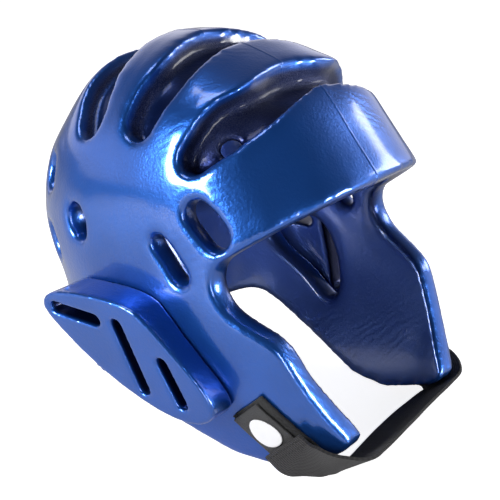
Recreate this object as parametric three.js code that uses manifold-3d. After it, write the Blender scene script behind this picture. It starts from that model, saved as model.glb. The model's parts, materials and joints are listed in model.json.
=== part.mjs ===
// A sparring headgear: a one-piece shell of dipped foam with an open face, cross ribs on the crown
// and a thick forehead band, two slotted ear pads, and an elastic chin strap with its fastening.
//
// Everything is modelled in the wearer's frame, in millimetres: +X to the wearer's left, -Y ahead,
// +Z up, with the origin between the ears. At the end the headgear is laid down on its jaw corners
// and its nape, tilted back as it rests by itself, with z = 0 at the floor.

import * as THREE from 'three';
import { mergeVertices } from 'three/addons/utils/BufferGeometryUtils.js';
import Module from 'manifold-3d';

const wasm = await Module();
wasm.setup();

// Driving sizes of the shell
const half_width = 92;
const front_reach = 137.5;
const back_reach = 102.5;
const crown_height = 156.5;
const rim_depth = 104;
const side_wall = 16.5;
const brow_wall = 24;
const crown_wall = 21;
const rest_pitch = THREE.MathUtils.degToRad(19.2);
const rest_depth = 70.7;

// Driving sizes of the grooves, slots and holes
const recess_depth = 17.5;
const groove_depth = 14;
const groove_chamfer = 3;
const recess_width = 27;
const groove_width = 23.5;
const vent_radius = 5.5;
const brow_slot_length = 32;
const brow_slot_width = 16.5;
const temple_slot_length = 33;
const temple_slot_width = 11;
const side_hole_length = 22;
const side_hole_width = 17;

// Driving sizes of the ear pads
const pad_proud = 19;
const pad_slope = 0.2;
const pad_slot_width = 7.5;

// Driving sizes of the chin strap and its fastening
const strap_width = 32;
const strap_thickness = 2;
const patch_thickness = 1.5;
const tab_thickness = 1.5;
const badge_thickness = 0.8;
const patch_height = 29;
const tab_height = 24;
const badge_length = 20;
const badge_width = 17.5;
const gap = 0.3;

// How fine the curved surfaces are cut into flat faces
const ring_steps = 46;
const cavity_steps = 32;
const rows_between = 2;
const groove_steps = 28;
const strap_steps = 44;
const cut_steps = 5;

// A share ahead of the ears is a share of the front reach, and a negative one lies behind them.
// A share above ear level is a share of the crown height, and a negative one lies below it.
const ahead = (share) => (share >= 0 ? -share * front_reach : -share * back_reach);
const above = (share) => (share >= 0 ? share * crown_height : share * rim_depth);

// A table of shares with named columns
function table(columns, rows) {
  return rows.map((row) => Object.fromEntries(columns.map((name, k) => [name, row[k]])));
}

// The outer form, one level section a row, from below the chin to the crown. half, front and back
// are how far the section reaches, middle is where it is widest, the two squares say how boxy it is
// (2 is an ellipse), lean is how far the surface faces up, and brow is the share of the brow wall.
const SECTIONS = table(
  ['height', 'half', 'front', 'back', 'middle',
    'front_square', 'back_square', 'lean', 'brow'],
  [
    [-1.0, 0.715, 1.06, 0.683, 0.11, 3.0, 2.2, 0, 0.5],
    [-0.81, 0.78, 1.09, 0.8, 0.11, 3.0, 2.2, 0, 0.5],
    [-0.53, 0.89, 1.08, 0.897, 0.11, 3.2, 2.2, 0, 0.35],
    [-0.24, 0.975, 1.057, 0.953, 0.09, 3.15, 2.15, 0, 0.1],
    [0.03, 1.0, 1.09, 0.98, 0.07, 3.05, 2.05, 0, 0.3],
    [0.192, 0.99, 1.053, 0.985, 0.06, 3.0, 1.97, 0, 0.8],
    [0.2875, 1.0, 1.0, 1.0, 0.05, 2.95, 2.0, 0, 1],
    [0.479, 0.988, 0.909, 0.976, 0.044, 2.9, 1.97, 0.12, 1],
    [0.677, 0.891, 0.817, 0.834, 0.044, 2.86, 1.86, 0.4, 1],
    [0.779, 0.787, 0.66, 0.671, 0.058, 2.86, 1.75, 0.6, 1],
    [0.886, 0.62, 0.476, 0.456, 0.073, 2.7, 1.85, 0.82, 1],
    [0.961, 0.36, 0.3, 0.22, 0.073, 2.3, 2.05, 0.94, 1],
    [0.99, 0.165, 0.168, 0.06, 0.073, 2.1, 2.05, 0.99, 1],
    [1.0, 0, 0.073, -0.098, 0.073, 2.0, 2.0, 1, 1],
  ],
);

// Turns a row of shares into real lengths. inset 1 gives the head cavity, and grow moves the outer
// surface outwards by a few tenths, for what lies on it.
function sizedRow(row, inset, grow) {
  const level = Math.sqrt(1 - row.lean * row.lean);
  return {
    z: above(row.height) - inset * crown_wall * row.lean + grow * row.lean,
    half: row.half * half_width - inset * side_wall * level + grow * level,
    front: ahead(row.front) + inset * brow_wall * row.brow * level - grow * level,
    back: row.back * back_reach - inset * side_wall * level + grow * level,
    middle: ahead(row.middle),
    front_square: row.front_square,
    back_square: row.back_square,
  };
}

// A smooth curve through a column of values, with the slope at each value taken from its neighbours
function smooth(places, values, place) {
  let i = 0;
  while (i < places.length - 2 && place > places[i + 1]) i += 1;
  const slope = (k) => {
    const low = Math.max(k - 1, 0);
    const high = Math.min(k + 1, places.length - 1);
    return (values[high] - values[low]) / (places[high] - places[low]);
  };
  const step = places[i + 1] - places[i];
  const t = (place - places[i]) / step;
  const rise = (1 + 2 * t) * (1 - t) * (1 - t) * values[i] + (3 - 2 * t) * t * t * values[i + 1];
  return rise + step * t * (1 - t) * ((1 - t) * slope(i) - t * slope(i + 1));
}

// The rows between the table's rows, by a curve through each column. Past the crown the last row is
// mirrored, so the top is round.
function denseRows(inset, grow, between = rows_between) {
  const rows = SECTIONS.map((row) => sizedRow(row, inset, grow));
  const near_top = rows[rows.length - 2];
  const top = rows[rows.length - 1];
  rows.push({
    ...near_top,
    half: -near_top.half,
    front: 2 * top.middle - near_top.front,
    back: 2 * top.middle - near_top.back,
  });
  const places = [0];
  for (let i = 1; i < rows.length; i += 1) {
    const a = rows[i - 1];
    const b = rows[i];
    places.push(places[i - 1] + Math.hypot(b.z - a.z, (b.back - a.back + a.front - b.front) / 2));
  }
  const dense = [];
  const last = rows.length - 2;
  for (let i = 0; i < last; i += 1) {
    for (let k = 0; k < between; k += 1) {
      const place = places[i] + ((places[i + 1] - places[i]) * k) / between;
      const row = {};
      for (const name of Object.keys(rows[0])) {
        row[name] = smooth(places, rows.map((r) => r[name]), place);
      }
      dense.push(row);
    }
  }
  dense.push(rows[last]);
  return dense;
}

// A point of a section, angle measured from the wearer's left towards the back
function sectionPoint(row, angle) {
  const c = Math.cos(angle);
  const s = Math.sin(angle);
  const reach = Math.max(s < 0 ? row.middle - row.front : row.back - row.middle, 1e-6);
  const square = s < 0 ? row.front_square : row.back_square;
  const half = Math.max(row.half, 1e-6);
  const r = (Math.abs(c / half) ** square + Math.abs(s / reach) ** square) ** (-1 / square);
  return new THREE.Vector3(r * c, row.middle + r * s, row.z);
}

// How far a point lies outside the section at its height, as a share: negative is inside
const outline_rows = denseRows(0, 0, 12);
function outside(x, y, z) {
  let i = 0;
  while (i < outline_rows.length - 2 && z > outline_rows[i + 1].z) i += 1;
  const a = outline_rows[i];
  const b = outline_rows[i + 1];
  const t = (z - a.z) / (b.z - a.z);
  const mix = (name) => a[name] + (b[name] - a[name]) * t;
  const middle = mix('middle');
  const reach = Math.max(y < middle ? middle - mix('front') : mix('back') - middle, 1e-3);
  const square = y < middle ? mix('front_square') : mix('back_square');
  const half = Math.max(mix('half'), 1e-3);
  return Math.abs(x / half) ** square + Math.abs((y - middle) / reach) ** square - 1;
}

// The height of the crown above a point of the plan, and the half width at a point of the side view
function crownHeightAt(x, y) {
  let low = above(0.29);
  let high = crown_height;
  for (let k = 0; k < 40; k += 1) {
    const z = (low + high) / 2;
    if (outside(x, y, z) < 0) low = z;
    else high = z;
  }
  return (low + high) / 2;
}

function halfWidthAt(y, z) {
  let low = 0;
  let high = half_width * 1.2;
  for (let k = 0; k < 40; k += 1) {
    const x = (low + high) / 2;
    if (outside(x, y, z) < 0) low = x;
    else high = x;
  }
  return (low + high) / 2;
}

// The outward direction of the outer surface at a point
function outward(point) {
  const step = 0.5;
  const slope = (dx, dy, dz) => outside(point.x + dx, point.y + dy, point.z + dz)
    - outside(point.x - dx, point.y - dy, point.z - dz);
  return new THREE.Vector3(slope(step, 0, 0), slope(0, step, 0), slope(0, 0, step)).normalize();
}

// A closed mesh from a list of rings of equal length, with an end point or a flat fan at each end
function ringsToGeometry(rings, first_tip, last_tip) {
  const count = rings[0].length;
  const points = rings.flat();
  const start = points.length;
  points.push(first_tip, last_tip);
  const faces = [];
  for (let i = 0; i + 1 < rings.length; i += 1) {
    for (let k = 0; k < count; k += 1) {
      const next = (k + 1) % count;
      const a = i * count + k;
      const b = i * count + next;
      const c = (i + 1) * count + next;
      const d = (i + 1) * count + k;
      faces.push(a, b, c, a, c, d);
    }
  }
  const last_ring = (rings.length - 1) * count;
  for (let k = 0; k < count; k += 1) {
    const next = (k + 1) % count;
    faces.push(start, next, k);
    faces.push(start + 1, last_ring + k, last_ring + next);
  }
  const geometry = new THREE.BufferGeometry();
  const coordinates = points.flatMap((p) => [p.x, p.y, p.z]);
  geometry.setAttribute('position', new THREE.Float32BufferAttribute(coordinates, 3));
  geometry.setIndex(faces);
  return geometry;
}

// The whole form as one solid lump: the outside of the shell, or its head cavity with inset 1
function formGeometry(inset, grow, steps) {
  const rows = denseRows(inset, grow);
  const crown = rows.pop();
  const rings = rows.map((row) => {
    const ring = [];
    for (let k = 0; k < steps; k += 1) ring.push(sectionPoint(row, (2 * Math.PI * k) / steps));
    return ring;
  });
  const floor_point = new THREE.Vector3(0, rows[0].middle, rows[0].z);
  const crown_point = new THREE.Vector3(0, crown.middle, crown.z);
  return ringsToGeometry(rings, floor_point, crown_point);
}

function toSolid(geometry) {
  const bare = geometry.clone();
  bare.deleteAttribute('normal');
  bare.deleteAttribute('uv');
  const merged = mergeVertices(bare, 1e-4);
  return new wasm.Manifold(new wasm.Mesh({
    numProp: 3,
    vertProperties: new Float32Array(merged.attributes.position.array),
    triVerts: new Uint32Array(merged.index.array),
  }));
}

function toGeometry(solid) {
  const mesh = solid.getMesh();
  const geometry = new THREE.BufferGeometry();
  geometry.setAttribute('position', new THREE.BufferAttribute(mesh.vertProperties, 3));
  geometry.setIndex(new THREE.BufferAttribute(mesh.triVerts, 1));
  geometry.computeVertexNormals();
  return geometry;
}

// A solid from a row of rings, closed at both ends, whichever way round the rings run
function solidFromRings(rings) {
  const mean = (ring) => ring.reduce((sum, p) => sum.add(p), new THREE.Vector3()).divideScalar(ring.length);
  const first = mean(rings[0]);
  const last = mean(rings[rings.length - 1]);
  const solid = toSolid(ringsToGeometry(rings, first, last));
  if (solid.volume() > 0) return solid;
  return toSolid(ringsToGeometry([...rings].reverse(), last, first));
}

// A straight prism whose outline is drawn in the side view, from one x to another
function sidePrism(shape, from, to, curve_steps) {
  const depth = to - from;
  const settings = { depth, bevelEnabled: false, curveSegments: curve_steps };
  const geometry = new THREE.ExtrudeGeometry(shape, settings);
  const side_view = new THREE.Matrix4().makeBasis(
    new THREE.Vector3(0, 1, 0),
    new THREE.Vector3(0, 0, 1),
    new THREE.Vector3(1, 0, 0),
  );
  geometry.applyMatrix4(side_view);
  geometry.translate(from, 0, 0);
  return toSolid(geometry);
}

const sidePoint = ([forward, up]) => new THREE.Vector2(ahead(forward), above(up));

// Rest: the floor seen from the wearer's frame. Height above the floor falls towards the front,
// because the headgear leans back.
const floor_up = new THREE.Vector3(0, -Math.sin(rest_pitch), Math.cos(rest_pitch));
const floor_back = new THREE.Vector3(0, Math.cos(rest_pitch), Math.sin(rest_pitch));
const floorLineAt = (y) => (y * Math.sin(rest_pitch) - rest_depth) / Math.cos(rest_pitch);
const onFloorLine = (forward) => new THREE.Vector2(ahead(forward), floorLineAt(ahead(forward)));

// The side view of what is left of the form: brow line, cheek edge, jaw, neck arch and nape
const CHEEK_EDGE = [
  [0.567, 0.165], [0.54, 0.12], [0.542, 0.07], [0.567, 0.015], [0.615, -0.05], [0.672, -0.12],
  [0.72, -0.19], [0.748, -0.27], [0.768, -0.43], [0.795, -0.62], [0.828, -0.79],
];
const CHIN_TURN = [[0.83, -0.84], [0.79, -0.88], [0.72, -0.905], [0.6, -0.92]];
const NECK_ARCH = [
  [0.2, -0.765], [-0.05, -0.5], [-0.3, -0.28], [-0.46, -0.25], [-0.6, -0.275], [-0.7, -0.36],
];
const jaw_flat_front = 0.45;
const jaw_flat_back = 0.29;
const nape_flat_front = -0.77;

function sideOutline() {
  const beyond = 1.25;
  const shape = new THREE.Shape();
  const brow_start = sidePoint([1.17, 0.345]);
  const brow_end = sidePoint([0.6, 0.185]);
  shape.moveTo(brow_start.x, brow_start.y);
  shape.lineTo(brow_end.x, brow_end.y);
  shape.splineThru(CHEEK_EDGE.map(sidePoint));
  shape.splineThru([...CHIN_TURN.map(sidePoint), onFloorLine(jaw_flat_front)]);
  const jaw_back = onFloorLine(jaw_flat_back);
  shape.lineTo(jaw_back.x, jaw_back.y);
  const nape_front = onFloorLine(nape_flat_front);
  shape.splineThru([...NECK_ARCH.map(sidePoint), nape_front]);
  const nape_back = onFloorLine(-beyond);
  shape.lineTo(nape_back.x, nape_back.y);
  shape.lineTo(nape_back.x, crown_height * beyond);
  shape.lineTo(brow_start.x, crown_height * beyond);
  shape.closePath();
  return shape;
}

// A groove over the crown, from one side to the other. Each row gives its middle line: aside is a
// share of the half width, forward a share ahead of the ears, wide a share of the groove's width.
function grooveCutter(rows, width, depth) {
  const above_surface = 14;
  const floor_share = 0.8;
  const mirrored = [...rows.slice(1).reverse().map((r) => ({ ...r, aside: -r.aside })), ...rows];
  const knots = mirrored.map((r) => {
    const x = r.aside * half_width;
    const y = ahead(r.forward);
    return new THREE.Vector3(x, y, crownHeightAt(x, y));
  });
  const line = new THREE.CatmullRomCurve3(knots, false, 'centripetal');
  const steps = groove_steps;
  const samples = [];
  const length = line.getLength();
  for (let k = 0; k <= steps; k += 1) {
    // the steps lie closer together at the round ends
    const share = 0.5 - 0.5 * Math.cos((Math.PI * k) / steps);
    const u = line.getUtoTmapping(share);
    const place = u * (mirrored.length - 1);
    const i = Math.min(Math.floor(place), mirrored.length - 2);
    const wide = mirrored[i].wide + (mirrored[i + 1].wide - mirrored[i].wide) * (place - i);
    const half = (wide * width) / 2;
    const from_end = Math.min(share, 1 - share) * length;
    const round = from_end < half ? Math.sqrt(Math.max(1 - (1 - from_end / half) ** 2, 0)) : 1;
    const point = line.getPoint(u);
    samples.push({ point, tangent: line.getTangent(u), half: Math.max(half * round, 0.4) });
  }
  const rings = samples.map(({ point, tangent, half }) => {
    const normal = outward(point);
    const across = new THREE.Vector3().crossVectors(tangent, normal).normalize();
    const corner = (side, up) => point.clone()
      .addScaledVector(across, side * half)
      .addScaledVector(normal, up);
    const wall_end = groove_chamfer - depth;
    return [
      corner(1, above_surface), corner(-1, above_surface), corner(-1, wall_end),
      corner(-floor_share, -depth), corner(floor_share, -depth), corner(1, wall_end),
    ];
  });
  return solidFromRings(rings);
}

const GROOVE_COLUMNS = ['aside', 'forward', 'wide'];
const RECESS = table(GROOVE_COLUMNS, [
  [0, 0.745, 0.95],
  [0.26, 0.762, 0.9],
  [0.44, 0.765, 0.9],
  [0.556, 0.748, 0.95],
  [0.65, 0.712, 1.0],
  [0.735, 0.67, 0.95],
  [0.8, 0.627, 0.82],
  [0.86, 0.573, 0.66],
  [0.91, 0.526, 0.5],
]);
const FRONT_GROOVE = table(GROOVE_COLUMNS, [
  [0, 0.38, 1.06],
  [0.17, 0.386, 1.04],
  [0.33, 0.398, 1.0],
  [0.5, 0.405, 0.97],
  [0.62, 0.394, 1.0],
  [0.7, 0.373, 1.03],
  [0.77, 0.345, 1.0],
  [0.83, 0.322, 0.9],
  [0.895, 0.297, 0.75],
]);
const REAR_GROOVE = table(GROOVE_COLUMNS, [
  [0, -0.02, 1.25],
  [0.33, -0.015, 1.25],
  [0.56, 0, 1.25],
  [0.7, 0.01, 1.2],
  [0.78, 0.018, 1.0],
  [0.83, 0.016, 0.85],
  [0.873, 0.015, 0.75],
]);

// A stadium hole straight through the wall at a point of the side view. turn is its long axis, in
// degrees from straight up towards the front.
function wallHole(forward, up, length, width, turn, side) {
  const y = ahead(forward);
  const z = above(up);
  const point = new THREE.Vector3(side * halfWidthAt(y, z), y, z);
  const normal = outward(point);
  const angle = THREE.MathUtils.degToRad(turn);
  const long_axis = new THREE.Vector3(0, -Math.sin(angle), Math.cos(angle));
  long_axis.addScaledVector(normal, -long_axis.dot(normal)).normalize();
  const short_axis = new THREE.Vector3().crossVectors(long_axis, normal);
  const radius = width / 2;
  const straight = length / 2 - radius;
  const shape = new THREE.Shape();
  shape.absarc(0, straight, radius, 0, Math.PI, false);
  shape.absarc(0, -straight, radius, Math.PI, 2 * Math.PI, false);
  shape.closePath();
  const reach = side_wall * 2.5;
  const geometry = new THREE.ExtrudeGeometry(shape, { depth: reach, bevelEnabled: false, curveSegments: 7 });
  geometry.translate(0, 0, -reach / 2);
  geometry.applyMatrix4(new THREE.Matrix4().makeBasis(short_axis, long_axis, normal));
  geometry.translate(point.x, point.y, point.z);
  return toSolid(geometry);
}

const HOLES = table(['forward', 'up', 'length', 'width', 'turn'], [
  [0.579, 0.317, brow_slot_length, brow_slot_width, -29],
  [0.366, 0.22, temple_slot_length, temple_slot_width, -22],
  [-0.16, 0.41, side_hole_length, side_hole_width, 0],
  [-0.57, 0.336, side_hole_length, side_hole_width, 0],
  [-0.44, 0.603, side_hole_length, side_hole_width, 0],
]);

// The round vent in the floor of the recess, at each side
function ventHole(side) {
  const aside = 0.74;
  const forward = 0.7;
  const x = aside * half_width;
  const y = ahead(forward);
  const point = new THREE.Vector3(side * x, y, crownHeightAt(x, y));
  const normal = outward(point);
  const reach = brow_wall * 3;
  const geometry = new THREE.CylinderGeometry(vent_radius, vent_radius, reach, 18);
  geometry.applyQuaternion(new THREE.Quaternion().setFromUnitVectors(new THREE.Vector3(0, 1, 0), normal));
  geometry.translate(point.x, point.y, point.z);
  return toSolid(geometry);
}

// The ear opening through the shell, drawn in the side view
const EAR_OPENING = [
  [-0.17, 0.09], [-0.12, -0.02], [-0.01, -0.14], [0.07, -0.26], [0.15, -0.38], [0.2, -0.38],
  [0.235, -0.25], [0.24, -0.08], [0.2, 0.07], [0.09, 0.13], [-0.06, 0.135],
];
// The ear pad's face outline, drawn in the side view, and the two ends of each of its slots
const PAD_OUTLINE = [
  [-0.33, 0.145], [-0.28, 0.185], [-0.17, 0.197], [0.06, 0.167], [0.19, 0.13], [0.27, 0.085],
  [0.35, -0.06], [0.42, -0.26], [0.455, -0.42], [0.44, -0.51], [0.35, -0.56], [0.21, -0.51],
  [0.085, -0.4], [-0.1, -0.19], [-0.275, 0.05],
];
const PAD_SLOTS = [
  { from: [-0.235, 0.135], to: [0.025, 0.07] },
  { from: [0.135, 0.045], to: [0.125, -0.33] },
  { from: [0.29, -0.18], to: [0.3, -0.43] },
];

function closedSpline(points) {
  const knots = points.map((p) => new THREE.Vector3(p.x, p.y, 0));
  const curve = new THREE.CatmullRomCurve3(knots, true, 'centripetal');
  const smooth_points = curve.getPoints(points.length * 2).slice(0, -1);
  return new THREE.Shape(smooth_points.map((p) => new THREE.Vector2(p.x, p.y)));
}

function sideStadium(from, to, width) {
  const a = sidePoint(from);
  const b = sidePoint(to);
  const angle = Math.atan2(b.y - a.y, b.x - a.x);
  const radius = width / 2;
  const shape = new THREE.Shape();
  shape.absarc(b.x, b.y, radius, angle - Math.PI / 2, angle + Math.PI / 2, false);
  shape.absarc(a.x, a.y, radius, angle + Math.PI / 2, angle + Math.PI * 1.5, false);
  shape.closePath();
  return shape;
}

const far = half_width * 2;

// The shell
function shellSolid() {
  let solid = toSolid(formGeometry(0, 0, ring_steps)).subtract(toSolid(formGeometry(1, 0, cavity_steps)));
  solid = solid.intersect(sidePrism(sideOutline(), -far, far, cut_steps));
  solid = solid.subtract(grooveCutter(RECESS, recess_width, recess_depth));
  solid = solid.subtract(grooveCutter(FRONT_GROOVE, groove_width, groove_depth));
  solid = solid.subtract(grooveCutter(REAR_GROOVE, groove_width, groove_depth));
  for (const side of [-1, 1]) {
    for (const h of HOLES) {
      solid = solid.subtract(wallHole(h.forward, h.up, h.length, h.width, h.turn, side));
    }
    solid = solid.subtract(ventHole(side));
    const ear = closedSpline(EAR_OPENING.map(sidePoint));
    solid = solid.subtract(sidePrism(ear, side < 0 ? -far : 0, side < 0 ? 0 : far, 1));
  }
  return solid;
}

// An ear pad: its outline drawn through from the sloping flat face to the shell
function earPadSolid(side) {
  const face = half_width + pad_proud;
  const outline = closedSpline(PAD_OUTLINE.map(sidePoint));
  let solid = sidePrism(outline, side < 0 ? -far : 0, side < 0 ? 0 : far, 1);
  for (const slot of PAD_SLOTS) {
    solid = solid.subtract(sidePrism(sideStadium(slot.from, slot.to, pad_slot_width), -far, far, cut_steps));
  }
  const block = new THREE.BoxGeometry(far * 2, far * 4, far * 4);
  block.translate(side * (face + far), 0, 0);
  const slant = new THREE.Matrix4().makeShear(0, 0, 0, 0, side * pad_slope, 0);
  block.applyMatrix4(slant);
  return solid.subtract(toSolid(block)).subtract(toSolid(formGeometry(0, gap, ring_steps)));
}

// A thin layer lying on the outer surface, cut to an outline in the side view
function layerOn(shape, side, from, to, curve_steps) {
  const layer = toSolid(formGeometry(0, to, ring_steps)).subtract(toSolid(formGeometry(0, from, ring_steps)));
  return layer.intersect(sidePrism(shape, side < 0 ? -far : 0, side < 0 ? 0 : far, curve_steps));
}

// The fastening on the cheek runs along the strap: forward and down in the side view
const strap_slope = THREE.MathUtils.degToRad(65);
const strap_start = sidePoint([0.6, -0.77]);
const strap_along = new THREE.Vector2(-Math.cos(strap_slope), -Math.sin(strap_slope));
const strap_across = new THREE.Vector2(-Math.sin(strap_slope), Math.cos(strap_slope));
const alongStrap = (along, across) => strap_start.clone()
  .addScaledVector(strap_along, along)
  .addScaledVector(strap_across, across);

function strapBox(from, to, low, high, low_to = to) {
  return new THREE.Shape([
    alongStrap(from, low), alongStrap(low_to, low), alongStrap(to, high), alongStrap(from, high),
  ]);
}

const patch_start = -29;
const patch_end = { right: 26, left: 14 };
const patch_low_end = 8;
const tab_start = -27;
const tab_end = 8;
const patch_low = -strap_width / 2 + 1;
const patch_top = patch_low + patch_height;
const tab_top = patch_low + tab_height;

function patchSolid(side) {
  const end = side < 0 ? patch_end.right : patch_end.left;
  const outline = strapBox(patch_start, end, patch_low, patch_top, patch_low_end);
  return layerOn(outline, side, gap, gap + patch_thickness, 1)
    .intersect(sidePrism(sideOutline(), -far, far, cut_steps));
}

const tab_level = 2 * gap + patch_thickness;
function tabSolid() {
  const outline = strapBox(tab_start, tab_end, patch_low, tab_top);
  return layerOn(outline, -1, tab_level, tab_level + tab_thickness, 1)
    .intersect(sidePrism(sideOutline(), -far, far, cut_steps));
}

const badge_level = tab_level + tab_thickness + gap;
function badgeSolid() {
  const badge_middle = 0.8;
  const centre = alongStrap(tab_start + badge_length * badge_middle, (patch_low + tab_top) / 2);
  const points = [];
  const steps = 24;
  for (let k = 0; k < steps; k += 1) {
    const angle = (2 * Math.PI * k) / steps;
    const blunt = 1 + 0.12 * Math.cos(angle);
    points.push(centre.clone()
      .addScaledVector(strap_along, (Math.cos(angle) * badge_length) / 2)
      .addScaledVector(strap_across, (Math.sin(angle) * badge_width * blunt) / 2));
  }
  return layerOn(new THREE.Shape(points), -1, badge_level, badge_level + badge_thickness, 1);
}

// The chin strap: a flat band with a straight stretch on each cheek and a bow under the chin that
// just clears the floor. Each row of the bow gives the middle of the band, from the right cheek to
// the left: aside is a share of the half width, forward how far it lies ahead along the floor, as a
// share of the front reach. tilt is how steep the band's width stands above the floor, in degrees,
// with its front edge the higher, and tuck how far its rear edge turns in under the cheek.
const STRAP_BOW = table(['aside', 'forward', 'tilt', 'tuck'], [
  [-0.75, 0.862, 44, 0.13],
  [-0.695, 0.93, 40, 0.08],
  [-0.58, 0.99, 37, 0],
  [-0.44, 0.988, 36, 0],
  [0, 0.95, 34, 0],
  [0.3, 0.93, 35, 0],
  [0.54, 0.922, 37, 0],
  [0.7, 0.91, 40, -0.06],
  [0.75, 0.862, 44, -0.1],
]);
const CHEEK_STRETCH = [0, 5, 10];
const floor_gap = 0.5;
const heightAboveFloor = (p) => p.dot(floor_up) + rest_depth;

function cheekKnot(side, along, level) {
  const onSurface = (share) => {
    const p = alongStrap(along, share * strap_width);
    return new THREE.Vector3(side * halfWidthAt(p.x, p.y), p.x, p.y);
  };
  const across = onSurface(0.5).sub(onSurface(-0.5)).normalize();
  const point = onSurface(0);
  point.x += side * (level + strap_thickness);
  return { point, across };
}

function bowKnot(row) {
  const tilt = THREE.MathUtils.degToRad(row.tilt);
  const height = floor_gap + (strap_width / 2) * Math.sin(tilt) + (strap_thickness / 2) * Math.cos(tilt);
  const point = new THREE.Vector3(row.aside * half_width, 0, 0)
    .addScaledVector(floor_back, -row.forward * front_reach)
    .addScaledVector(floor_up, height - rest_depth);
  const across = new THREE.Vector3()
    .addScaledVector(floor_back, -Math.cos(tilt))
    .addScaledVector(floor_up, Math.sin(tilt))
    .add(new THREE.Vector3(-row.tuck, 0, 0));
  return { point, across: across.normalize() };
}

function strapSolid() {
  const knots = [
    ...CHEEK_STRETCH.map((along) => cheekKnot(-1, along, badge_level)),
    ...STRAP_BOW.map(bowKnot),
    ...[...CHEEK_STRETCH].reverse().map((along) => cheekKnot(1, along, tab_level)),
  ];
  const line = new THREE.CatmullRomCurve3(knots.map((k) => k.point), false, 'centripetal');
  const rings = [];
  for (let s = 0; s <= strap_steps; s += 1) {
    const t = s / strap_steps;
    const place = t * (knots.length - 1);
    const i = Math.min(Math.floor(place), knots.length - 2);
    const across = knots[i].across.clone().lerp(knots[i + 1].across, place - i).normalize();
    const tangent = line.getTangent(t);
    across.addScaledVector(tangent, -across.dot(tangent)).normalize();
    const normal = new THREE.Vector3().crossVectors(tangent, across).normalize();
    const point = line.getPoint(t);
    const corner = (side, up) => point.clone()
      .addScaledVector(across, (side * strap_width) / 2)
      .addScaledVector(normal, (up * strap_thickness) / 2);
    const ring = [corner(1, 1), corner(0, 1), corner(-1, 1), corner(-1, -1), corner(0, -1), corner(1, -1)];
    const lift = Math.max(floor_gap - Math.min(...ring.map(heightAboveFloor)), 0);
    for (const p of ring) p.addScaledVector(floor_up, lift);
    rings.push(ring);
  }
  return solidFromRings(rings);
}

const dipped_foam = new THREE.MeshStandardMaterial({ color: 0x1c3f94, roughness: 0.25, metalness: 0.35 });
const loop_fabric = new THREE.MeshStandardMaterial({ color: 0x14141a, roughness: 0.95, metalness: 0 });
const black_tape = new THREE.MeshStandardMaterial({ color: 0x1b1b20, roughness: 0.7, metalness: 0 });
const elastic = new THREE.MeshStandardMaterial({ color: 0x18181c, roughness: 0.85, metalness: 0 });
const white_patch = new THREE.MeshStandardMaterial({ color: 0xf2f2f2, roughness: 0.5, metalness: 0 });

const worn = new THREE.Group();
function addPiece(name, solid, material) {
  const mesh = new THREE.Mesh(toGeometry(solid), material);
  mesh.name = name;
  worn.add(mesh);
}

addPiece('shell', shellSolid(), dipped_foam);
addPiece('ear_pad_right', earPadSolid(-1), dipped_foam);
addPiece('ear_pad_left', earPadSolid(1), dipped_foam);
addPiece('loop_patch_right', patchSolid(-1), loop_fabric);
addPiece('loop_patch_left', patchSolid(1), loop_fabric);
addPiece('hook_tab', tabSolid(), black_tape);
addPiece('badge', badgeSolid(), white_patch);
addPiece('chin_strap', strapSolid(), elastic);

// Laid down: tilted back about the ears, with the middle of its footprint at the origin
worn.rotation.x = -rest_pitch;
const headgear = new THREE.Group();
headgear.add(worn);
headgear.updateMatrixWorld(true);
const box = new THREE.Box3().setFromObject(headgear, true);
worn.position.set(-(box.min.x + box.max.x) / 2, -(box.min.y + box.max.y) / 2, -box.min.z);

export default headgear;
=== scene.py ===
# %% [markdown]
# # Sparring headgear
# The real thing is cast foam dipped in vinyl: one thick shell for the head, a flat guard glued over
# each ear, and a wide elastic chin strap that fastens to fuzzy patches on the cheeks. It lies on its
# jaw and nape on a pale floor. This lesson takes the measured solids, gives each piece the soft
# shape a hand would find, and then the finish.

import json
import math

import bmesh
import bpy
from mathutils import Matrix, Vector, noise
from mathutils.bvhtree import BVHTree
from mathutils.kdtree import KDTree

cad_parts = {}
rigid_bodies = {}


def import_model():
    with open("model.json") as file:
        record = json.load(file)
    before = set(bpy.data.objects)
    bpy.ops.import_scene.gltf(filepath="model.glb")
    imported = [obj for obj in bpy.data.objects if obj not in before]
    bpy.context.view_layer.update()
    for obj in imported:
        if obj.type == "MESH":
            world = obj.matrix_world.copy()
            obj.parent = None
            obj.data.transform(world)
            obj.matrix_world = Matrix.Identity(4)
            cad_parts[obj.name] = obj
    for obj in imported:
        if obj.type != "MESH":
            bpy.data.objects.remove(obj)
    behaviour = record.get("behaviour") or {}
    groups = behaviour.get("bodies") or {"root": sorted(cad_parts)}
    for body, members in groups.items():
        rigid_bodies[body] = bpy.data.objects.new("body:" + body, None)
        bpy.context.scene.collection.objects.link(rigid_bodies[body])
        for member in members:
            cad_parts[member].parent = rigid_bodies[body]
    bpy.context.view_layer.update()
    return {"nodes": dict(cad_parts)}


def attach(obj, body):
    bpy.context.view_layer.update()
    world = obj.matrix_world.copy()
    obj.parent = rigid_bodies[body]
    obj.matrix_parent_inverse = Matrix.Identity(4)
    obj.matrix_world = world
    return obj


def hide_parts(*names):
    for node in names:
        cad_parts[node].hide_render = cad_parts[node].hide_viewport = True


MM = 0.001


def in_mm(lengths):
    return [round(length / MM, 1) for length in lengths]


for leftover in list(bpy.data.objects):
    bpy.data.objects.remove(leftover)
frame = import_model()

# %% [markdown]
# ## Helpers for every piece
# A solid from the frame is made of loose triangles, so each piece starts from a merged copy. The copy
# could be subdivided, but its triangles are long and thin and would pucker. A voxel remesh gives it
# an even skin instead, fine enough to be rubbed smooth, and the solid itself is left alone.

# %% Copy, remesh and keep a piece
def merged_copy(node):
    mesh = bmesh.new()
    mesh.from_mesh(frame["nodes"][node].data)
    bmesh.ops.remove_doubles(mesh, verts=mesh.verts, dist=0.005 * MM)
    return mesh


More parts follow.
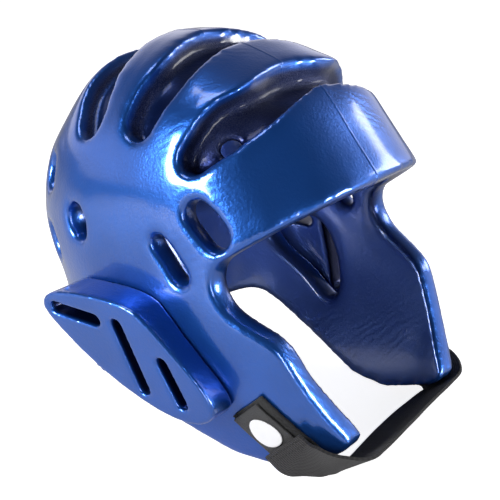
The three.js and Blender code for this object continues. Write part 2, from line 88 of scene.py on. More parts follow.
def make_object(name, mesh):
    data = bpy.data.meshes.new(name)
    mesh.to_mesh(data)
    mesh.free()
    piece = bpy.data.objects.new(name, data)
    bpy.context.scene.collection.objects.link(piece)
    return piece


def evenly_skinned(mesh, voxel):
    rough = make_object("rough", mesh)
    remesh = rough.modifiers.new("even skin", "REMESH")
    remesh.mode = "VOXEL"
    remesh.voxel_size = voxel
    even = bmesh.new()
    even.from_object(rough, bpy.context.evaluated_depsgraph_get())
    bpy.data.objects.remove(rough)
    return even


def shade_smooth(mesh):
    for face in mesh.faces:
        face.smooth = True


def keep_piece(piece, node, material):
    piece.data.materials.append(material)
    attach(piece, "root")
    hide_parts(node)
    print(piece.name, "has", len(piece.data.polygons), "faces")


# %% [markdown]
# ## Rounding the dipped edges
# Vinyl runs off a sharp edge, so a dipped edge is always round, while the open skin between the
# edges is taut and even. A bevel could round the edges, but they are made of many short steps that
# it would tear. Rubbing every point a few times rounds them all. The open skin is then rubbed on,
# more times the further it lies from an edge, which takes out the flats of the solid.

# %% Find the edges and rub the skin
def edge_finder(mesh, least_angle, step):
    points = []
    for edge in mesh.edges:
        if len(edge.link_faces) != 2 or edge.calc_face_angle() < least_angle:
            continue
        start, end = (v.co for v in edge.verts)
        count = math.ceil(edge.calc_length() / step)
        points.extend(start.lerp(end, k / count) for k in range(count + 1))
    finder = KDTree(len(points))
    for k, point in enumerate(points):
        finder.insert(point, k)
    finder.balance()
    print("edge points:", len(points))
    return finder


def rub(mesh, verts, passes):
    for _ in range(passes):
        bmesh.ops.smooth_vert(
            mesh, verts=verts, factor=0.5, use_axis_x=True, use_axis_y=True, use_axis_z=True
        )


def rub_open_skin(mesh, finder, near, far, passes):
    reach = {v: finder.find(v.co)[2] for v in mesh.verts}
    for k in range(passes):
        least = near + (far - near) * k / passes
        rub(mesh, [v for v in mesh.verts if reach[v] > least], 1)


# %% [markdown]
# ## Depth under a tight wrap
# A groove mirrors little of the room, so on the real thing it looks navy. A sheet pulled tight over
# a piece touches its ribs and spans its grooves, and the distance from that sheet tells how deep a
# point lies. An Ambient Occlusion node could darken the grooves too, but a value that is kept on the
# points is the same from every side and can be used for colour and for gloss.

# %% A tight wrap, and how deep a point lies under it
def wrap_of(mesh):
    hull = bmesh.new()
    for v in mesh.verts:
        hull.verts.new(v.co)
    made = bmesh.ops.convex_hull(hull, input=hull.verts[:])
    within = [g for g in made["geom_interior"] if isinstance(g, bmesh.types.BMVert)]
    bmesh.ops.delete(hull, geom=within)
    wrap = BVHTree.FromBMesh(hull)
    hull.free()
    return wrap


def keep_depth(mesh, wrap, share=1.0):
    layer = mesh.verts.layers.float.new("depth")
    for v in mesh.verts:
        on_wrap, facing, _, _ = wrap.find_nearest(v.co)
        v[layer] = max((on_wrap - v.co).dot(facing) / MM, 0) * share
    return layer


# %% [markdown]
# The inside of the head gets a paler blue than the grooves, a painted reflection of the sheen it
# shows, and the groove walls that look forward are rough where the foam was cut. Both could be
# painted by hand, but they follow from where a point lies and which way it looks, so two more values
# are worked out and kept.

# %% The inside and the cut walls
head_middle = Vector((0, 12, 105)) * MM
faces_that_way = (0.25, 0.65)
cut_depth_in_mm = (3.5, 7.5)
crown_height_in_mm = (138, 163)


def share_between(value, low, high):
    return min(max((value - low) / (high - low), 0), 1)


def keep_facings(mesh, depth_layer):
    """How far a point looks in on the head, and how much it is a cut wall that looks forward."""
    inside = mesh.verts.layers.float.new("inside")
    cut = mesh.verts.layers.float.new("cut")
    for v in mesh.verts:
        inwards = (head_middle - v.co).normalized().dot(v.normal)
        v[inside] = share_between(inwards, *faces_that_way)
        deep = share_between(v[depth_layer], *cut_depth_in_mm)
        forward = share_between(-v.normal.y, *faces_that_way)
        high = share_between(v.co.z / MM, *crown_height_in_mm)
        v[cut] = deep * forward * high * (1 - v[inside])


# %% [markdown]
# ## The shell
# The head part is one piece of foam: crown with cross ribs, forehead band, cheeks and nape. It could
# be remeshed once, but a remesh nicks a sharp edge, and the lips would look chewed. So the first one
# is very fine and rubbed until every lip is round. The second one is coarser, and by then there is
# no sharp edge left for it to nick.

# %% Skin and round the shell
lip_angle = math.radians(28)
carving_voxel = 0.95 * MM
shell_voxel = 2.0 * MM
carving_rubs = 20
shell_rubs = 6
lip_reach = 3 * MM
open_skin_reach = 16 * MM
open_skin_rubs = 60
shell_copy = merged_copy("shell")
shell_edges = edge_finder(shell_copy, lip_angle, 2 * MM)
shell_wrap = wrap_of(shell_copy)
carved_mesh = evenly_skinned(shell_copy, carving_voxel)
rub(carved_mesh, carved_mesh.verts[:], carving_rubs)
shell_mesh = evenly_skinned(carved_mesh, shell_voxel)
rub(shell_mesh, shell_mesh.verts[:], shell_rubs)
rub_open_skin(shell_mesh, shell_edges, lip_reach, open_skin_reach, open_skin_rubs)
print("points in the shell's skin:", len(shell_mesh.verts))

# %% [markdown]
# The two halves of the mould meet in the middle of the head and leave a fine raised line over the
# band and the ribs. A bump could draw it, but it would be missing from the mesh itself. So three
# cuts along the middle give it points of its own, and the middle row is lifted along the skin.

# %% Mould line and depth
mould_line_half = 1.1 * MM
mould_line_height = 0.35 * MM
on_the_middle = 0.02 * MM
rib_depth_in_mm = 6
for place in (-mould_line_half, 0, mould_line_half):
    bmesh.ops.bisect_plane(
        shell_mesh,
        geom=shell_mesh.verts[:] + shell_mesh.edges[:] + shell_mesh.faces[:],
        dist=0.01 * MM,
        plane_co=(place, 0, 0),
        plane_no=(1, 0, 0),
    )
shell_mesh.normal_update()
depth_layer = keep_depth(shell_mesh, shell_wrap)
keep_facings(shell_mesh, depth_layer)
for v in shell_mesh.verts:
    if abs(v.co.x) < on_the_middle and v[depth_layer] < rib_depth_in_mm:
        v.co += v.normal * mould_line_height
shade_smooth(shell_mesh)
print("deepest point in mm:", round(max(v[depth_layer] for v in shell_mesh.verts), 1))

# %% [markdown]
# ## The dipped finish
# The vinyl is a deep blue with pearl in it: it mirrors a white room as lavender and falls to navy
# where nothing bright is mirrored. Every material is a small net of nodes, and a few helpers keep
# the building of such a net short.

# %% Node helpers
def new_material(name):
    material = bpy.data.materials.new(name)
    material.use_nodes = True
    tree = material.node_tree
    shader = tree.nodes["Principled BSDF"]
    return material, tree, shader


def add_node(tree, kind, **settings):
    node = tree.nodes.new(kind)
    for key, value in settings.items():
        setattr(node, key, value)
    return node


def feed(tree, source, target):
    tree.links.new(source, target)


def mapped_range(tree, source, low, high, to_low=0.0, to_high=1.0):
    node = add_node(tree, "ShaderNodeMapRange", interpolation_type="SMOOTHSTEP")
    feed(tree, source, node.inputs["Value"])
    node.inputs["From Min"].default_value = low
    node.inputs["From Max"].default_value = high
    node.inputs["To Min"].default_value = to_low
    node.inputs["To Max"].default_value = to_high
    return node.outputs["Result"]


def mixed_colour(tree, share, first, second):
    node = add_node(tree, "ShaderNodeMix", data_type="RGBA")
    feed(tree, share, node.inputs[0])
    for socket, colour in ((node.inputs[6], first), (node.inputs[7], second)):
        if isinstance(colour, tuple):
            socket.default_value = (*colour, 1)
        else:
            feed(tree, colour, socket)
    return node.outputs[2]


def arithmetic(tree, operation, first, second=None):
    node = add_node(tree, "ShaderNodeMath", operation=operation)
    for socket, value in ((node.inputs[0], first), (node.inputs[1], second)):
        if isinstance(value, (int, float)):
            socket.default_value = value
        elif value is not None:
            feed(tree, value, socket)
    return node.outputs[0]


# %% [markdown]
# Dipped skin is never quite smooth: it has a fine grain and a slow wave. The loops of the patches
# have much the same unevenness, only finer. One node group makes both, and each material gives it
# its own size, which is easier to keep right than two copies.

# %% The group for a grainy, slightly wavy skin
waves_in_a_metre = 28


def grain_group():
    group = bpy.data.node_groups.new("skin grain", "ShaderNodeTree")
    group.interface.new_socket("Size", in_out="INPUT", socket_type="NodeSocketFloat")
    group.interface.new_socket("Wave", in_out="INPUT", socket_type="NodeSocketFloat")
    group.interface.new_socket("Height", in_out="OUTPUT", socket_type="NodeSocketFloat")
    group.interface.new_socket("Mottle", in_out="OUTPUT", socket_type="NodeSocketFloat")
    inlet = add_node(group, "NodeGroupInput")
    outlet = add_node(group, "NodeGroupOutput")
    place = add_node(group, "ShaderNodeTexCoord")
    fine = add_node(group, "ShaderNodeTexNoise")
    fine.inputs["Detail"].default_value = 3
    feed(group, place.outputs["Object"], fine.inputs["Vector"])
    feed(group, inlet.outputs["Size"], fine.inputs["Scale"])
    broad = add_node(group, "ShaderNodeTexNoise")
    broad.inputs["Scale"].default_value = waves_in_a_metre
    broad.inputs["Detail"].default_value = 1.5
    feed(group, place.outputs["Object"], broad.inputs["Vector"])
    waves = arithmetic(group, "MULTIPLY", broad.outputs["Fac"], inlet.outputs["Wave"])
    feed(group, arithmetic(group, "ADD", fine.outputs["Fac"], waves), outlet.inputs["Height"])
    feed(group, broad.outputs["Fac"], outlet.inputs["Mottle"])
    return group


skin_grain = grain_group()


def add_grain(tree, size, wave):
    node = add_node(tree, "ShaderNodeGroup", node_tree=skin_grain)
    node.inputs["Size"].default_value = size
    node.inputs["Wave"].default_value = wave
    return node


# %% [markdown]
# The colour goes from bright blue on the ribs to navy in the grooves, by the depth that was kept;
# this navy is painted shade. The inside gets a paler blue, a painted reflection of the lavender it
# mirrors, and the cut walls are speckled. A picture could be painted for this, but the kept values
# put each colour where it belongs without one.

# %% Colours of the vinyl
BRIGHT_BLUE = (0.016, 0.125, 0.56)
GROOVE_SHADE_NAVY = (0.002, 0.01, 0.07)
INSIDE_REFLECTION_BLUE = (0.075, 0.14, 0.4)
CUT_FOAM = (0.07, 0.085, 0.17)
duller_share = 0.85
rib_to_groove_in_mm = (4, 15)


def kept_value(tree, name):
    return add_node(tree, "ShaderNodeAttribute", attribute_name=name).outputs["Fac"]


def vinyl_colour(tree, grain, speckle, depth, inside, cut):
    blue = mixed_colour(
        tree,
        mapped_range(tree, grain.outputs["Mottle"], 0.3, 0.7),
        tuple(duller_share * c for c in BRIGHT_BLUE),
        BRIGHT_BLUE,
    )
    # Painted shade: the blue turns navy deeper in the grooves.
    blue = mixed_colour(tree, mapped_range(tree, depth, *rib_to_groove_in_mm), blue, GROOVE_SHADE_NAVY)
    # Painted reflection: a paler blue where a point looks in on the head.
    blue = mixed_colour(tree, inside, blue, INSIDE_REFLECTION_BLUE)
    foam_share = mapped_range(tree, speckle.outputs["Height"], 0.3, 0.8)
    foam = mixed_colour(tree, foam_share, GROOVE_SHADE_NAVY, CUT_FOAM)
    return mixed_colour(tree, cut, blue, foam)


# %% [markdown]
# Where the vinyl ran while it was wet it left faint curved lines, in some places and not in others. A
# wave texture, bent by its own distortion, draws such lines, and a slow noise picks the places. They
# are far too low to be modelled, so they join the grain and the rough foam in one bump.

# %% Flow lines and relief
foam_roughness = 3
flow_line_height = 0.45


def flow_lines(tree):
    """Faint curved lines that the vinyl left as it ran, in some places and not in others."""
    place = add_node(tree, "ShaderNodeTexCoord").outputs["Object"]
    lines = add_node(tree, "ShaderNodeTexWave", wave_profile="SIN", bands_direction="DIAGONAL")
    lines.inputs["Scale"].default_value = 75
    lines.inputs["Distortion"].default_value = 9
    lines.inputs["Detail"].default_value = 2
    lines.inputs["Detail Scale"].default_value = 0.6
    feed(tree, place, lines.inputs["Vector"])
    places = add_node(tree, "ShaderNodeTexNoise")
    places.inputs["Scale"].default_value = 17
    feed(tree, place, places.inputs["Vector"])
    share = mapped_range(tree, places.outputs["Fac"], 0.5, 0.68)
    return arithmetic(tree, "MULTIPLY", lines.outputs["Fac"], share)


def vinyl_height(tree, grain, speckle, cut):
    rough_foam = arithmetic(tree, "MULTIPLY", speckle.outputs["Height"], cut)
    rough_foam = arithmetic(tree, "MULTIPLY", rough_foam, foam_roughness)
    height = arithmetic(tree, "ADD", grain.outputs["Height"], rough_foam)
    runs = arithmetic(tree, "MULTIPLY", flow_lines(tree), flow_line_height)
    return arithmetic(tree, "ADD", height, runs)


def bump_from(tree, height, shader, strength, distance):
    bump = add_node(tree, "ShaderNodeBump")
    bump.inputs["Strength"].default_value = strength
    bump.inputs["Distance"].default_value = distance
    feed(tree, height, bump.inputs["Height"])
    feed(tree, bump.outputs["Normal"], shader.inputs["Normal"])


# %% [markdown]
# The gloss is two layers, as on the real thing: a rougher pearl body that is nearly metal, and a
# clear coat over it. One glossy layer would mirror the room in blue alone, and the white edge lights
# would be lost. The coat is thinned down in the grooves as painted shade, for the room that a groove
# cannot mirror.

# %% Dipped vinyl
skin_grain_size = 560
skin_wave = 4
foam_grain_size = 1500
groove_shade_coat_in_mm = (3, 13)
coat_on_ribs_and_in_grooves = (1.0, 0.22)
skin_and_cut_roughness = (0.3, 0.48)


def dipped_vinyl(name):
    material, tree, shader = new_material(name)
    grain = add_grain(tree, skin_grain_size, skin_wave)
    speckle = add_grain(tree, foam_grain_size, 0)
    depth = kept_value(tree, "depth")
    inside = kept_value(tree, "inside")
    cut = kept_value(tree, "cut")
    colour = vinyl_colour(tree, grain, speckle, depth, inside, cut)
    feed(tree, colour, shader.inputs["Base Color"])
    roughness = mapped_range(tree, cut, 0, 1, *skin_and_cut_roughness)
    feed(tree, roughness, shader.inputs["Roughness"])
    # Painted shade: the clear coat, and so what it mirrors, thins out deeper in the grooves.
    outer_depth = arithmetic(tree, "MULTIPLY", depth, arithmetic(tree, "SUBTRACT", 1, inside))
    coat = mapped_range(tree, outer_depth, *groove_shade_coat_in_mm, *coat_on_ribs_and_in_grooves)
    feed(tree, coat, shader.inputs["Coat Weight"])
    bump_from(tree, vinyl_height(tree, grain, speckle, cut), shader, 0.8, 0.2 * MM)
    shader.inputs["Metallic"].default_value = 0.8
    shader.inputs["Specular IOR Level"].default_value = 0.6
    shader.inputs["Coat Roughness"].default_value = 0.12
    shader.inputs["Coat IOR"].default_value = 1.65
    return material


shell_vinyl = dipped_vinyl("dipped vinyl")
shell = make_object("shell_skin", shell_mesh)
keep_piece(shell, "shell", shell_vinyl)

# %% [markdown]
# ## The ear guards
# Each guard is a slab of the same foam, flat on its face, with three hearing slots. It could share
# the shell's treatment, but its rim is tighter than the shell's lips, so it gets a finer skin and
# fewer rubs. Depth counts for more on it, so that the painted groove shade turns the narrow slots
# navy close under their rims.

# %% Two ear guards
pad_carving_voxel = 0.55 * MM
pad_voxel = 0.95 * MM
pad_carving_rubs = 14
pad_rubs = 5
pad_lip_reach = 2 * MM
pad_skin_reach = 7 * MM
pad_skin_rubs = 30
pad_depth_share = 4
for side in ("right", "left"):
    pad_copy = merged_copy("ear_pad_" + side)
    pad_edges = edge_finder(pad_copy, lip_angle, 1 * MM)
    pad_wrap = wrap_of(pad_copy)
    carved_pad = evenly_skinned(pad_copy, pad_carving_voxel)
    rub(carved_pad, carved_pad.verts[:], pad_carving_rubs)
    pad_mesh = evenly_skinned(carved_pad, pad_voxel)
    rub(pad_mesh, pad_mesh.verts[:], pad_rubs)
    rub_open_skin(pad_mesh, pad_edges, pad_lip_reach, pad_skin_reach, pad_skin_rubs)
    pad_mesh.normal_update()
    keep_facings(pad_mesh, keep_depth(pad_mesh, pad_wrap, pad_depth_share))
    shade_smooth(pad_mesh)
    pad = make_object("ear_guard_" + side, pad_mesh)
    keep_piece(pad, "ear_pad_" + side, shell_vinyl)

# %% [markdown]
# ## Fabrics
# The elastic and the tape are both woven, only at different sizes, so one group makes the weave for
# both. Threads could be modelled one by one, but there are thousands and each is under 2 mm, so the
# weave is a wave in the bump. It reads a UV map in metres, along the band and across it, so that it
# follows the cloth round every bend.

# %% The weave group
def weave_group():
    group = bpy.data.node_groups.new("narrow weave", "ShaderNodeTree")
    group.interface.new_socket("Rib pitch", in_out="INPUT", socket_type="NodeSocketFloat")
    group.interface.new_socket("Pick pitch", in_out="INPUT", socket_type="NodeSocketFloat")
    group.interface.new_socket("Height", in_out="OUTPUT", socket_type="NodeSocketFloat")
    inlet = add_node(group, "NodeGroupInput")
    outlet = add_node(group, "NodeGroupOutput")
    place = add_node(group, "ShaderNodeUVMap", uv_map="laid flat")
    axes = add_node(group, "ShaderNodeSeparateXYZ")
    feed(group, place.outputs["UV"], axes.inputs["Vector"])
    ribs = arithmetic(group, "DIVIDE", axes.outputs["Y"], inlet.outputs["Rib pitch"])
    picks = arithmetic(group, "DIVIDE", axes.outputs["X"], inlet.outputs["Pick pitch"])
    offset = arithmetic(group, "MULTIPLY", arithmetic(group, "FLOOR", ribs), 0.5)
    rib_wave = arithmetic(group, "SINE", arithmetic(group, "MULTIPLY", ribs, 2 * math.pi))
    pick_turn = arithmetic(group, "MULTIPLY", arithmetic(group, "ADD", picks, offset), 2 * math.pi)
    pick_wave = arithmetic(group, "SINE", pick_turn)
    both = arithmetic(group, "ADD", rib_wave, arithmetic(group, "MULTIPLY", pick_wave, 0.6))
    feed(group, both, outlet.inputs["Height"])
    return group


narrow_weave = weave_group()


def woven(name, colour, lit_colour, rib_pitch, pick_pitch, roughness):
    material, tree, shader = new_material(name)
    weave = add_node(tree, "ShaderNodeGroup", node_tree=narrow_weave)
    weave.inputs["Rib pitch"].default_value = rib_pitch
    weave.inputs["Pick pitch"].default_value = pick_pitch
    share = mapped_range(tree, weave.outputs["Height"], -1.4, 1.4)
    feed(tree, mixed_colour(tree, share, colour, lit_colour), shader.inputs["Base Color"])
    bump_from(tree, weave.outputs["Height"], shader, 0.6, 0.18 * MM)
    shader.inputs["Roughness"].default_value = roughness
    shader.inputs["Sheen Weight"].default_value = 0.08
    return material


elastic_cloth = woven(
    "woven elastic",
    colour=(0.004, 0.004, 0.005),
    lit_colour=(0.04, 0.038, 0.041),
    rib_pitch=1.5 * MM,
    pick_pitch=1.9 * MM,
    roughness=0.8,
)
tape_cloth = woven(
    "tab tape",
    colour=(0.01, 0.01, 0.011),
    lit_colour=(0.06, 0.06, 0.062),
    rib_pitch=0.5 * MM,
    pick_pitch=0.6 * MM,
    roughness=0.62,
)

# %% [markdown]
# ## The chin strap
# The strap is one band of elastic, from its sewn end on the right cheek, round under the chin and up
# to the left cheek. It could be cloth that is left to hang, but it has to lie where the solid lies.
# The solid was swept in rings, so the rings are found again by counting edges from one cut end.

# %% Rings along the measured strap
def levels_from(tip):
    """The tip of a cut end, then each ring of points beyond it."""
    levels = [[tip]]
    done = {tip}
    while levels[-1]:
        beyond = {e.other_vert(v) for v in levels[-1] for e in v.link_edges} - done
        done |= beyond
        levels.append(list(beyond))
    return levels[:-1]


def measured_rings():
    mesh = merged_copy("chin_strap")
    tips = [v for v in mesh.verts if len(v.link_edges) == 6 and v.co.x < 0]
    found = None
    for tip in tips:
        levels = levels_from(tip)
        if all(len(level) == 6 for level in levels[1:-1]) and len(levels[-1]) == 1:
            found = [[v.co.copy() for v in level] for level in levels[1:-1]]
    mesh.free()
    return found


def middle_of(points):
    return sum(points, Vector()) / len(points)


def middles_and_widths(rings):
    middles, widths = [], []
    for ring in rings:
        middle = middle_of(ring)
        corner = max(ring, key=lambda p: (p - middle).length)
        twin = min((p for p in ring if p != corner), key=lambda p: (p - corner).length)
        across = (middle_of([corner, twin]) - middle).normalized()
        if widths and across.dot(widths[-1]) < 0:
            across.negate()
        elif not widths and across.y > 0:
            across.negate()
        middles.append(middle)
        widths.append(across)
    return middles, widths


strap_middles, strap_across = middles_and_widths(measured_rings())
strap_lengths = [(b - a).length for a, b in zip(strap_middles, strap_middles[1:])]
strap_length = sum(strap_lengths)
strap_width = 32 * MM
strap_thickness = 2 * MM
pressed_thickness = strap_thickness * 0.9
print("strap rings:", len(strap_middles), "length in mm:", round(strap_length / MM, 1))

# %% [markdown]
# Between two rings the band has to bend softly, as elastic does. A curve object could do it, but its
# twist is hard to steer. Here a smooth formula runs through the middles and through the directions of
# the width, so the band turns just as the rings do.

# %% A point on the band, by its distance along and across
def eased(values, place):
    """Follows a row of vectors smoothly through each of them."""
    last = len(values) - 1
    k = min(int(place), last - 1)
    t = place - k
    a, b, c, d = (values[min(max(k + n, 0), last)] for n in (-1, 0, 1, 2))
    return 0.5 * (
        2 * b + (c - a) * t + (2 * a - 5 * b + 4 * c - d) * t**2 + (3 * b - a - 3 * c + d) * t**3
    )


def place_at(length):
    """How many rings along a length of band lies."""
    for k, step in enumerate(strap_lengths):
        if length <= step or k == len(strap_lengths) - 1:
            return k + min(length / step, 1)
        length -= step


def on_band(length, width, lift=0.0):
    place = place_at(length)
    step = 0.02
    ahead = eased(strap_middles, min(place + step, len(strap_middles) - 1))
    behind = eased(strap_middles, max(place - step, 0))
    across = eased(strap_across, place).normalized()
    outward = across.cross(ahead - behind).normalized()
    return eased(strap_middles, place) + across * width + outward * lift


first_outward = on_band(0, 0, 1) - on_band(0, 0)
outer_side = 1 if first_outward.x < 0 else -1
print("outward at the first end:", [round(c, 2) for c in first_outward])

# %% [markdown]
# A flat grid, cut to the band's real length, is laid out first and gets its UV map while it is flat.
# Then it is bent along the rings. A map made after the bending would have to be unwrapped, and the
# weave would stretch.

# %% Bend the cut band
band_mesh = bmesh.new()
along_steps = 240
across_steps = 14
bmesh.ops.create_grid(band_mesh, x_segments=along_steps, y_segments=across_steps, size=0.5)
flat_uv = band_mesh.loops.layers.uv.new("laid flat")
for face in band_mesh.faces:
    for loop in face.loops:
        flat = loop.vert.co
        loop[flat_uv].uv = ((flat.x + 0.5) * strap_length, flat.y * strap_width)
for v in band_mesh.verts:
    v.co = on_band((v.co.x + 0.5) * strap_length, v.co.y * strap_width)
shade_smooth(band_mesh)
strap = make_object("elastic_band", band_mesh)
thick = strap.modifiers.new("thickness", "SOLIDIFY")
thick.thickness = pressed_thickness
thick.offset = 0
edge = strap.modifiers.new("selvedge", "BEVEL")
edge.width = 0.5 * MM
edge.segments = 3
edge.limit_method = "ANGLE"
keep_piece(strap, "chin_strap", elastic_cloth)

# %% [markdown]
# ## Stitches
# The band is sewn to its tab with two rows of dark thread, and its other end has the same two rows.
# A bump could hint at them, but a stitch stands up from the cloth and catches the light. So each one
# is a small pill with few faces, and the rows are one piece.

# %% Rows of stitches
def add_stitch(mesh, start, end, thread):
    """A pill of thread that lies from one hole to the next."""
    line = end - start
    turned = line.to_track_quat("Z", "Y").to_matrix().to_4x4()
    size = Matrix.Diagonal((thread, thread, line.length / 2, 1))
    matrix = Matrix.Translation((start + end) / 2) @ turned @ size
    bmesh.ops.create_icosphere(mesh, subdivisions=1, radius=1, matrix=matrix)


def stitch_across_band(mesh, length, reach, pitch, thread):
    count = round(2 * reach / pitch)
    lift = outer_side * (pressed_thickness / 2 + thread * 0.3)
    for k in range(count):
        low = -reach + k * pitch
        high = low + pitch * stitch_share
        add_stitch(mesh, on_band(length, low, lift), on_band(length, high, lift), thread)


thread = 0.32 * MM
stitch_pitch = 2.6 * MM
stitch_share = 0.78
row_reach = 14 * MM
sewn_rows = (1.8 * MM, 5.5 * MM)
stitch_mesh = bmesh.new()
for row in sewn_rows:
    stitch_across_band(stitch_mesh, row, row_reach, stitch_pitch, thread)
    stitch_across_band(stitch_mesh, strap_length - row, row_reach, stitch_pitch, thread)
shade_smooth(stitch_mesh)
stitches = make_object("strap_stitches", stitch_mesh)
thread_cloth, thread_tree, thread_shader = new_material("dark thread")
thread_shader.inputs["Base Color"].default_value = (0.02, 0.02, 0.022, 1)
thread_shader.inputs["Roughness"].default_value = 0.6
stitches.data.materials.append(thread_cloth)
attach(stitches, "root")
print("stitch faces:", len(stitches.data.polygons))

# %% [markdown]
# The band is a sheet of cloth: whoever uses the part may want it flat, or soft. So what it measures
# when laid flat is printed.

# %% The strap as cloth
print("strap laid flat in mm:", in_mm((strap_width, strap_length)))

# %% [markdown]
# ## The fastening on the cheek
# A fuzzy patch of loops is glued to each cheek. The strap's tab of hook tape presses on the right
# one and carries a bare white egg-shaped patch. The weave of the tab has to run along the strap, so a
# point on the cheek is turned back to the upright head and measured from where the strap starts.

# %% Place on the cheek, along the strap and across it
rest_pitch = math.radians(19.2)
rest_shift = Vector((0, 15.67, 70.7)) * MM
strap_slope = math.radians(65)
strap_start = Vector((0, -82.5, -80.1)) * MM
to_head = Matrix.Rotation(rest_pitch, 3, "X")


def along_and_across(point):
    on_head = to_head @ (point - rest_shift) - strap_start
    along = -on_head.y * math.cos(strap_slope) - on_head.z * math.sin(strap_slope)
    across = -on_head.y * math.sin(strap_slope) + on_head.z * math.cos(strap_slope)
    return along, across


def lay_flat_map(mesh):
    layer = mesh.loops.layers.uv.new("laid flat")
    for face in mesh.faces:
        for loop in face.loops:
            loop[layer].uv = along_and_across(loop.vert.co)


# %% [markdown]
# Loops look like short felt. Hair could make them, but hair is not a mesh and would be lost from the
# model. So the patch is remeshed finely and its skin is pushed in and out by two noises, one of about
# the size of a loop and one of half that.

# %% Loop patches
loop_size = 1.3 * MM
small_loop_share = 0.45
small_loop_lift = 0.6
loop_lift = 0.27 * MM
patch_voxel = 0.55 * MM
fabric_rubs = 3
loop_cloth, loop_tree, loop_shader = new_material("black loops")
loop_noise = add_grain(loop_tree, 1500, 2)
feed(
    loop_tree,
    mixed_colour(
        loop_tree,
        mapped_range(loop_tree, loop_noise.outputs["Height"], 1.1, 1.9),
        (0.004, 0.004, 0.005),
        (0.022, 0.023, 0.024),
    ),
    loop_shader.inputs["Base Color"],
)
loop_shader.inputs["Roughness"].default_value = 0.95
loop_shader.inputs["Sheen Weight"].default_value = 0.15
loop_shader.inputs["Sheen Roughness"].default_value = 0.5
for side in ("right", "left"):
    patch_mesh = evenly_skinned(merged_copy("loop_patch_" + side), patch_voxel)
    rub(patch_mesh, patch_mesh.verts[:], fabric_rubs)
    patch_mesh.normal_update()
    for v in patch_mesh.verts:
        fuzz = noise.noise(v.co / loop_size)
        fuzz += small_loop_lift * noise.noise(v.co / (small_loop_share * loop_size))
        v.co += v.normal * fuzz * loop_lift
    shade_smooth(patch_mesh)
    patch = make_object("fuzzy_patch_" + side, patch_mesh)
    keep_piece(patch, "loop_patch_" + side, loop_cloth)

# %% [markdown]
# The tab is plain stiff tape, and the egg-shaped patch on it is thin and smooth. Their solids are
# right but for their sharp edges, which no tape has. A fine remesh and a few rubs take those off, as
# on the shell, and keep the outline.

# %% Hook tab
tab_voxel = 0.5 * MM
tab_mesh = evenly_skinned(merged_copy("hook_tab"), tab_voxel)
rub(tab_mesh, tab_mesh.verts[:], fabric_rubs)
lay_flat_map(tab_mesh)
shade_smooth(tab_mesh)
tab = make_object("tape_tab", tab_mesh)
keep_piece(tab, "hook_tab", tape_cloth)

# %% Bare patch on the tab
egg_voxel = 0.3 * MM
badge_mesh = evenly_skinned(merged_copy("badge"), egg_voxel)
rub(badge_mesh, badge_mesh.verts[:], fabric_rubs)
shade_smooth(badge_mesh)
egg = make_object("egg_patch", badge_mesh)
patch_white, white_tree, white_shader = new_material("bare white patch")
white_shader.inputs["Base Color"].default_value = (0.86, 0.86, 0.87, 1)
white_shader.inputs["Roughness"].default_value = 0.45
keep_piece(egg, "badge", patch_white)

# %% [markdown]
# ## The studio
# The photograph is a plain product shot on a white ground with hardly a shadow. A white floor that is
# only lit turns grey further out, so this one also glows a little, but for the camera alone. What
# the vinyl mirrors is a duller floor, which keeps its underside dark.

# %% Floor
floor_mesh = bmesh.new()
bmesh.ops.create_grid(floor_mesh, x_segments=1, y_segments=1, size=6)
floor = make_object("pale_floor", floor_mesh)
floor_white, floor_tree, floor_shader = new_material("pale floor")
floor_seen = add_node(floor_tree, "ShaderNodeLightPath").outputs["Is Camera Ray"]
floor_mirrored = (0.75, 0.75, 0.75)
floor_pale = (0.95, 0.95, 0.95)
floor_colour = mixed_colour(floor_tree, floor_seen, floor_mirrored, floor_pale)
feed(floor_tree, floor_colour, floor_shader.inputs["Base Color"])
floor_glow_share = 0.86
floor_glow = arithmetic(floor_tree, "MULTIPLY", floor_seen, floor_glow_share)
feed(floor_tree, floor_glow, floor_shader.inputs["Emission Strength"])
floor_shader.inputs["Roughness"].default_value = 0.9
floor_shader.inputs["Specular IOR Level"].default_value = 0.1
floor_shader.inputs["Emission Color"].default_value = (1, 1, 1, 1)
floor.data.materials.append(floor_white)

# %% [markdown]
# The camera looks down on the headgear from its front right. It could be aimed by eye with a Track To
# constraint, but its place and directions were worked out from the picture, so they are set directly.
# A long lens is what makes the far cheek nearly as large as the near one.

# %% Camera of the photograph
camera_place = Vector((-0.5476, -0.4337, 0.3718))
camera_right = Vector((0.615, -0.7888, 0.0)).normalized()
camera_back = Vector((-0.733, -0.571, 0.3704)).normalized()
camera_up = camera_back.cross(camera_right).normalized()
camera_data = bpy.data.cameras.new("photo camera")
camera_data.lens = 87.7
camera_data.sensor_width = 36
camera_data.clip_start = 0.02
camera_data.clip_end = 60
camera = bpy.data.objects.new("photo camera", camera_data)
bpy.context.scene.collection.objects.link(camera)
camera.matrix_world = Matrix.Translation(camera_place) @ (
    Matrix((camera_right, camera_up, camera_back)).transposed().to_4x4()
)
bpy.context.scene.camera = camera
print("camera distance in mm:", round(camera_place.length / MM))

# %% [markdown]
# Glossy vinyl is mostly what it mirrors. The room is white at the sides, with a dark ceiling and a
# dark part behind the camera, which the vinyl mirrors as navy. A picture of a real room could light
# it, but a few blended shades give the same contrast and need no file. The camera itself sees white.

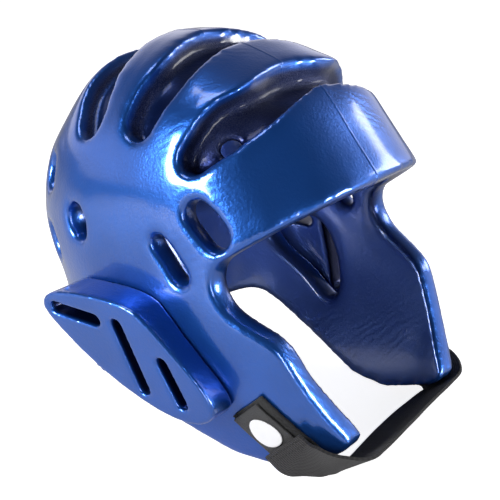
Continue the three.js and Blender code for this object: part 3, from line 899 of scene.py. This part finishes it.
# %% White room, darker behind the camera
world = bpy.data.worlds.new("white room")
bpy.context.scene.world = world
world.use_nodes = True
room = world.node_tree
background = room.nodes["Background"]
facing = add_node(room, "ShaderNodeVectorMath", operation="DOT_PRODUCT")
looking = add_node(room, "ShaderNodeTexCoord").outputs["Generated"]
feed(room, looking, facing.inputs[0])
facing.inputs[1].default_value = Vector((-0.62, -0.72, 0.3)).normalized()
dark_share = mapped_range(room, facing.outputs["Value"], -0.25, 0.5)
direction = add_node(room, "ShaderNodeSeparateXYZ")
feed(room, looking, direction.inputs[0])
ceiling_share = mapped_range(room, direction.outputs["Z"], 0.1, 0.6)
white_wall = (0.9, 0.88, 0.95)
dark_ceiling = (0.1, 0.1, 0.115)
behind_camera = (0.02, 0.02, 0.025)
wall_light = mixed_colour(room, ceiling_share, white_wall, dark_ceiling)
room_light = mixed_colour(room, dark_share, wall_light, behind_camera)
camera_ray = add_node(room, "ShaderNodeLightPath").outputs["Is Camera Ray"]
feed(room, mixed_colour(room, camera_ray, room_light, (1, 1, 1)), background.inputs["Color"])

# %% [markdown]
# Each bright patch on the vinyl is the mirror image of a soft box. Sun or point lights would give
# hard dots, so area lights are used, and each is set where its image falls as on the real thing: on
# the temple, on the crown, on the far cheek and along the front edges.

# %% Soft boxes
def soft_box(name, place, aim, width, height, power):
    light = bpy.data.lights.new(name, "AREA")
    light.shape = "RECTANGLE"
    light.size = width
    light.size_y = height
    light.energy = power
    box = bpy.data.objects.new(name, light)
    bpy.context.scene.collection.objects.link(box)
    box.location = place
    box.rotation_euler = (Vector(aim) - Vector(place)).to_track_quat("-Z", "Y").to_euler()
    print(name, "gives", power, "W")


soft_box("right box", (-1.2, 0.3, 0.55), (0, 0, 0.12), 0.45, 0.55, 17)
soft_box("top box", (-0.1, 0.3, 1.6), (0, 0, 0.1), 0.6, 0.6, 4)
soft_box("left box", (1.4, -0.65, 0.65), (0, 0, 0.1), 0.4, 0.4, 3.5)
soft_box("front strip", (-0.6, -1.4, 0.42), (0, 0, 0.12), 0.2, 0.7, 6)
soft_box("front box", (0.75, -1.45, 0.25), (0, 0, 0.12), 0.35, 0.55, 15)

# %% [markdown]
# A film-like view would soften the bright blue and grey the white ground. The plain one keeps both as
# the photograph has them.

# %% Colour as the camera saw it
bpy.context.scene.view_settings.view_transform = "Standard"
